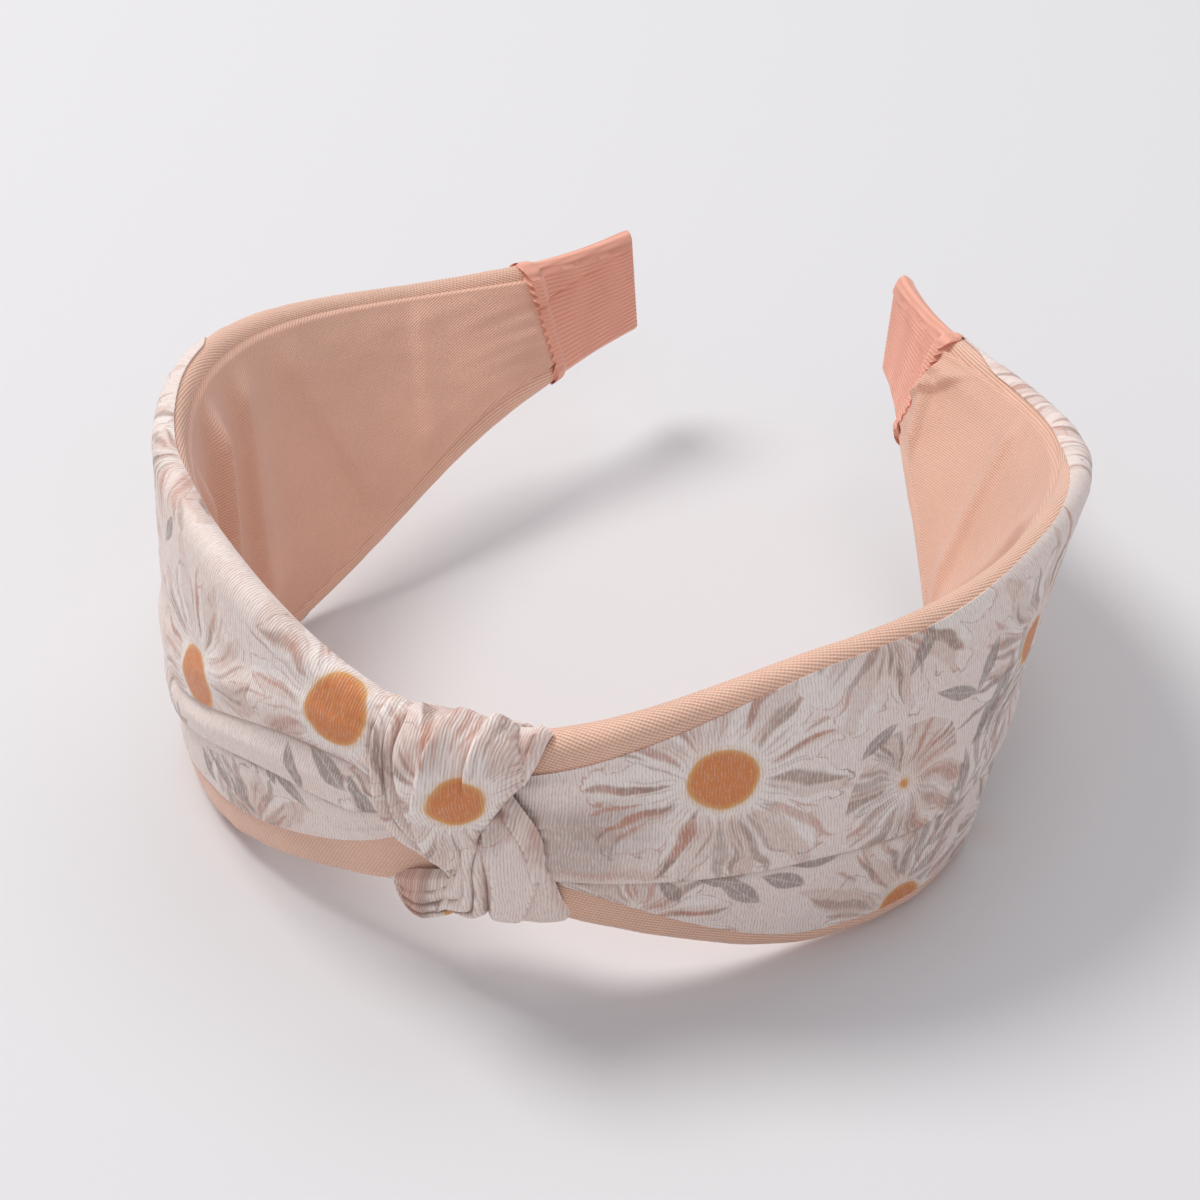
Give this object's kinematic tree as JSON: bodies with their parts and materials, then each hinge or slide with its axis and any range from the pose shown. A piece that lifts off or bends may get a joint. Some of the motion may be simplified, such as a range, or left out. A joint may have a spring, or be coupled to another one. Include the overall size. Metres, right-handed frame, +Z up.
{
  "type": "knotted headband",
  "caption": "Wide padded fabric headband on a springy strip, with a printed chiffon scarf knotted at the front and ribbed end wraps.",
  "frame": {"origin": "on the surface that the headband lies on, under the middle of its outline", "axes": "+Z up across the band's width, +Y from the knot at the front to the open ends, +X to the right with the knot facing the viewer"},
  "size_m": [0.1378, 0.1572, 0.05],
  "materials": {
    "strip": "plain moulded white plastic, hidden inside",
    "foam": "open-cell foam sheet, hidden inside",
    "twill": "peach satin twill, soft sheen",
    "lining_twill": "peach satin twill, soft sheen",
    "chiffon": "crinkled off-white chiffon printed with taupe and amber daisies",
    "ribbon": "salmon ribbed grosgrain, matt",
    "thread": "off-white sewing thread"
  },
  "bodies": {
    "crown": {"core_crown": "strip", "foam_crown": "foam", "cover_crown": "twill", "lining_crown": "lining_twill", "knot_wrap": "chiffon", "knot_lobe_left": "chiffon", "knot_lobe_right": "chiffon", "tack_stitches": "thread"},
    "left_arm": {"core_left": "strip", "foam_left": "foam", "cover_left": "twill", "lining_left": "lining_twill", "scarf_left": "chiffon", "end_wrap_left": "ribbon"},
    "right_arm": {"core_right": "strip", "foam_right": "foam", "cover_right": "twill", "lining_right": "lining_twill", "scarf_right": "chiffon", "end_wrap_right": "ribbon"}
  },
  "joints": [
    {"name": "left_arm_flex", "type": "hinge", "parent": "crown", "child": "left_arm", "pos_m": [-0.01616, -0.06923, 0.025], "axis": [0, 0, 1], "range_deg": [0, 15], "stiffness_Nm_per_rad": 0.8},
    {"name": "right_arm_flex", "type": "hinge", "parent": "crown", "child": "right_arm", "pos_m": [0.01616, -0.06923, 0.025], "axis": [0, 0, -1], "range_deg": [0, 15], "stiffness_Nm_per_rad": 0.8}
  ]
}
